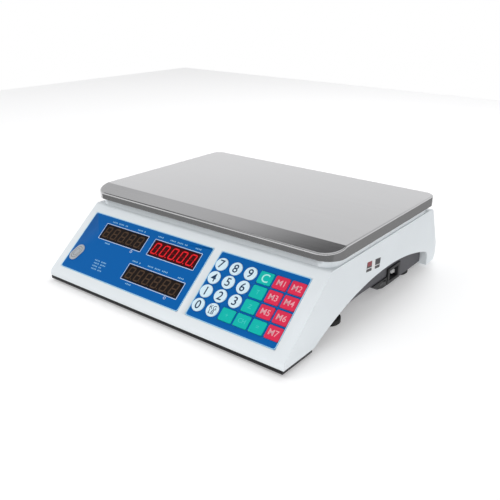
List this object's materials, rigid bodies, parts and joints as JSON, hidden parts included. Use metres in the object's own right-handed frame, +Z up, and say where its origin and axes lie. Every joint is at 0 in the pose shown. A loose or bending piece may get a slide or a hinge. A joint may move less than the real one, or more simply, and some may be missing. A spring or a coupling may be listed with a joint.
{
  "type": "counting scale",
  "caption": "Low counter weighing scale with a lift-off steel plate on a load cell, a sloped keypad and display panel, and screw feet.",
  "frame": {"origin": "centre of the footprint, on the surface that the feet rest on", "axes": "+X to the operator's right, +Y from the operator to the rear, +Z up"},
  "size_m": [0.33, 0.3298, 0.0942],
  "materials": {
    "casing": "satin white moulding",
    "lower_casing": "fine texture",
    "cast_base": "as cast",
    "overlay": "printed film",
    "badge": "silvered",
    "lens": "smoked window",
    "digits": "diffuse",
    "board": "solder mask",
    "black_plastic": "moulded",
    "iron_core": "varnished",
    "battery_case": "moulded",
    "cell_metal": "milled",
    "bolt": "zinc plated",
    "rubber": "matt",
    "plate_steel": "brushed along its length",
    "rocker": "polished",
    "key_white": "printed",
    "key_teal": "printed",
    "key_red": "printed"
  },
  "bodies": {
    "base": {"upper_case": "casing", "lower_case": "lower_casing", "base_frame": "cast_base", "rear_overlay": "overlay", "display_overlay": "overlay", "keypad_overlay": "overlay", "panel_badge": "badge", "display_lenses": "lens", "front_led_digits": "digits", "front_boards": "board", "key_switches": "black_plastic", "rear_lenses": "lens", "rear_led_digits": "digits", "main_board": "board", "transformer": "iron_core", "battery": "battery_case", "load_cell": "cell_metal", "cell_bolts": "bolt", "overload_stops": "bolt", "power_inlet": "black_plastic", "inlet_pins": "bolt", "switch_housing": "black_plastic", "case_screws": "bolt"},
    "platform": {"platform_frame": "cast_base", "platform_bolts": "bolt", "platform_pads": "rubber"},
    "pan": {"pan": "plate_steel"},
    "rocker": {"switch_rocker": "rocker"},
    "key_7": {"key_7": "key_white"},
    "key_8": {"key_8": "key_white"},
    "key_9": {"key_9": "key_white"},
    "key_clear": {"key_clear": "key_teal"},
    "key_m1": {"key_m1": "key_red"},
    "key_m2": {"key_m2": "key_red"},
    "key_4": {"key_4": "key_white"},
    "key_5": {"key_5": "key_white"},
    "key_6": {"key_6": "key_white"},
    "key_tare": {"key_tare": "key_teal"},
    "key_m3": {"key_m3": "key_red"},
    "key_m4": {"key_m4": "key_red"},
    "key_1": {"key_1": "key_white"},
    "key_2": {"key_2": "key_white"},
    "key_3": {"key_3": "key_white"},
    "key_zero": {"key_zero": "key_teal"},
    "key_m5": {"key_m5": "key_red"},
    "key_m6": {"key_m6": "key_red"},
    "key_0": {"key_0": "key_white"},
    "key_unit": {"key_unit": "key_white"},
    "key_add": {"key_add": "key_teal"},
    "key_change": {"key_change": "key_teal"},
    "key_total": {"key_total": "key_teal"},
    "key_m7": {"key_m7": "key_red"},
    "stud_fl": {"foot_stud_fl": "bolt"},
    "pad_fl": {"foot_pad_fl": "rubber"},
    "stud_fr": {"foot_stud_fr": "bolt"},
    "pad_fr": {"foot_pad_fr": "rubber"},
    "stud_rl": {"foot_stud_rl": "bolt"},
    "pad_rl": {"foot_pad_rl": "rubber"},
    "stud_rr": {"foot_stud_rr": "bolt"},
    "pad_rr": {"foot_pad_rr": "rubber"}
  },
  "joints": [
    {"name": "platform_travel", "type": "slide", "parent": "base", "child": "platform", "axis": [0, 0, -1], "range_m": [0, 0.0006], "stiffness_N_per_m": 400000, "deforming": ["load_cell"]},
    {"name": "pan_lift", "type": "slide", "parent": "platform", "child": "pan", "axis": [0, 0, 1], "range_m": [0, 0.06]},
    {"name": "power_switch", "type": "hinge", "parent": "base", "child": "rocker", "pos_m": [0.1524, 0.0355, 0.0142], "axis": [0, 0, 1], "range_deg": [0, 18]},
    {"name": "key_7_press", "type": "slide", "parent": "base", "child": "key_7", "axis": [0, 0.6428, -0.766], "range_m": [0, 0.0005], "stiffness_N_per_m": 2000},
    {"name": "key_8_press", "type": "slide", "parent": "base", "child": "key_8", "axis": [0, 0.6428, -0.766], "range_m": [0, 0.0005], "stiffness_N_per_m": 2000},
    {"name": "key_9_press", "type": "slide", "parent": "base", "child": "key_9", "axis": [0, 0.6428, -0.766], "range_m": [0, 0.0005], "stiffness_N_per_m": 2000},
    {"name": "key_clear_press", "type": "slide", "parent": "base", "child": "key_clear", "axis": [0, 0.6428, -0.766], "range_m": [0, 0.0005], "stiffness_N_per_m": 2000},
    {"name": "key_m1_press", "type": "slide", "parent": "base", "child": "key_m1", "axis": [0, 0.6428, -0.766], "range_m": [0, 0.0005], "stiffness_N_per_m": 2000},
    {"name": "key_m2_press", "type": "slide", "parent": "base", "child": "key_m2", "axis": [0, 0.6428, -0.766], "range_m": [0, 0.0005], "stiffness_N_per_m": 2000},
    {"name": "key_4_press", "type": "slide", "parent": "base", "child": "key_4", "axis": [0, 0.6428, -0.766], "range_m": [0, 0.0005], "stiffness_N_per_m": 2000},
    {"name": "key_5_press", "type": "slide", "parent": "base", "child": "key_5", "axis": [0, 0.6428, -0.766], "range_m": [0, 0.0005], "stiffness_N_per_m": 2000},
    {"name": "key_6_press", "type": "slide", "parent": "base", "child": "key_6", "axis": [0, 0.6428, -0.766], "range_m": [0, 0.0005], "stiffness_N_per_m": 2000},
    {"name": "key_tare_press", "type": "slide", "parent": "base", "child": "key_tare", "axis": [0, 0.6428, -0.766], "range_m": [0, 0.0005], "stiffness_N_per_m": 2000},
    {"name": "key_m3_press", "type": "slide", "parent": "base", "child": "key_m3", "axis": [0, 0.6428, -0.766], "range_m": [0, 0.0005], "stiffness_N_per_m": 2000},
    {"name": "key_m4_press", "type": "slide", "parent": "base", "child": "key_m4", "axis": [0, 0.6428, -0.766], "range_m": [0, 0.0005], "stiffness_N_per_m": 2000},
    {"name": "key_1_press", "type": "slide", "parent": "base", "child": "key_1", "axis": [0, 0.6428, -0.766], "range_m": [0, 0.0005], "stiffness_N_per_m": 2000},
    {"name": "key_2_press", "type": "slide", "parent": "base", "child": "key_2", "axis": [0, 0.6428, -0.766], "range_m": [0, 0.0005], "stiffness_N_per_m": 2000},
    {"name": "key_3_press", "type": "slide", "parent": "base", "child": "key_3", "axis": [0, 0.6428, -0.766], "range_m": [0, 0.0005], "stiffness_N_per_m": 2000},
    {"name": "key_zero_press", "type": "slide", "parent": "base", "child": "key_zero", "axis": [0, 0.6428, -0.766], "range_m": [0, 0.0005], "stiffness_N_per_m": 2000},
    {"name": "key_m5_press", "type": "slide", "parent": "base", "child": "key_m5", "axis": [0, 0.6428, -0.766], "range_m": [0, 0.0005], "stiffness_N_per_m": 2000},
    {"name": "key_m6_press", "type": "slide", "parent": "base", "child": "key_m6", "axis": [0, 0.6428, -0.766], "range_m": [0, 0.0005], "stiffness_N_per_m": 2000},
    {"name": "key_0_press", "type": "slide", "parent": "base", "child": "key_0", "axis": [0, 0.6428, -0.766], "range_m": [0, 0.0005], "stiffness_N_per_m": 2000},
    {"name": "key_unit_press", "type": "slide", "parent": "base", "child": "key_unit", "axis": [0, 0.6428, -0.766], "range_m": [0, 0.0005], "stiffness_N_per_m": 2000},
    {"name": "key_add_press", "type": "slide", "parent": "base", "child": "key_add", "axis": [0, 0.6428, -0.766], "range_m": [0, 0.0005], "stiffness_N_per_m": 2000},
    {"name": "key_change_press", "type": "slide", "parent": "base", "child": "key_change", "axis": [0, 0.6428, -0.766], "range_m": [0, 0.0005], "stiffness_N_per_m": 2000},
    {"name": "key_total_press", "type": "slide", "parent": "base", "child": "key_total", "axis": [0, 0.6428, -0.766], "range_m": [0, 0.0005], "stiffness_N_per_m": 2000},
    {"name": "key_m7_press", "type": "slide", "parent": "base", "child": "key_m7", "axis": [0, 0.6428, -0.766], "range_m": [0, 0.0005], "stiffness_N_per_m": 2000},
    {"name": "foot_fl_height", "type": "slide", "parent": "base", "child": "stud_fl", "axis": [0, 0, -1], "range_m": [0, 0.0051]},
    {"name": "foot_fl_turn", "type": "hinge", "parent": "stud_fl", "child": "pad_fl", "pos_m": [-0.139, -0.052, 0.003], "axis": [0, 0, 1], "range_deg": [0, 1440]},
    {"name": "foot_fr_height", "type": "slide", "parent": "base", "child": "stud_fr", "axis": [0, 0, -1], "range_m": [0, 0.0051]},
    {"name": "foot_fr_turn", "type": "hinge", "parent": "stud_fr", "child": "pad_fr", "pos_m": [0.139, -0.052, 0.003], "axis": [0, 0, 1], "range_deg": [0, 1440]},
    {"name": "foot_rl_height", "type": "slide", "parent": "base", "child": "stud_rl", "axis": [0, 0, -1], "range_m": [0, 0.0051]},
    {"name": "foot_rl_turn", "type": "hinge", "parent": "stud_rl", "child": "pad_rl", "pos_m": [-0.139, 0.1065, 0.003], "axis": [0, 0, 1], "range_deg": [0, 1440]},
    {"name": "foot_rr_height", "type": "slide", "parent": "base", "child": "stud_rr", "axis": [0, 0, -1], "range_m": [0, 0.0051]},
    {"name": "foot_rr_turn", "type": "hinge", "parent": "stud_rr", "child": "pad_rr", "pos_m": [0.139, 0.1065, 0.003], "axis": [0, 0, 1], "range_deg": [0, 1440]}
  ],
  "couplings": [
    {"joint": "foot_fl_height", "follows": "foot_fl_turn", "m_per_rad": 0.00019894},
    {"joint": "foot_fr_height", "follows": "foot_fr_turn", "m_per_rad": 0.00019894},
    {"joint": "foot_rl_height", "follows": "foot_rl_turn", "m_per_rad": 0.00019894},
    {"joint": "foot_rr_height", "follows": "foot_rr_turn", "m_per_rad": 0.00019894}
  ]
}
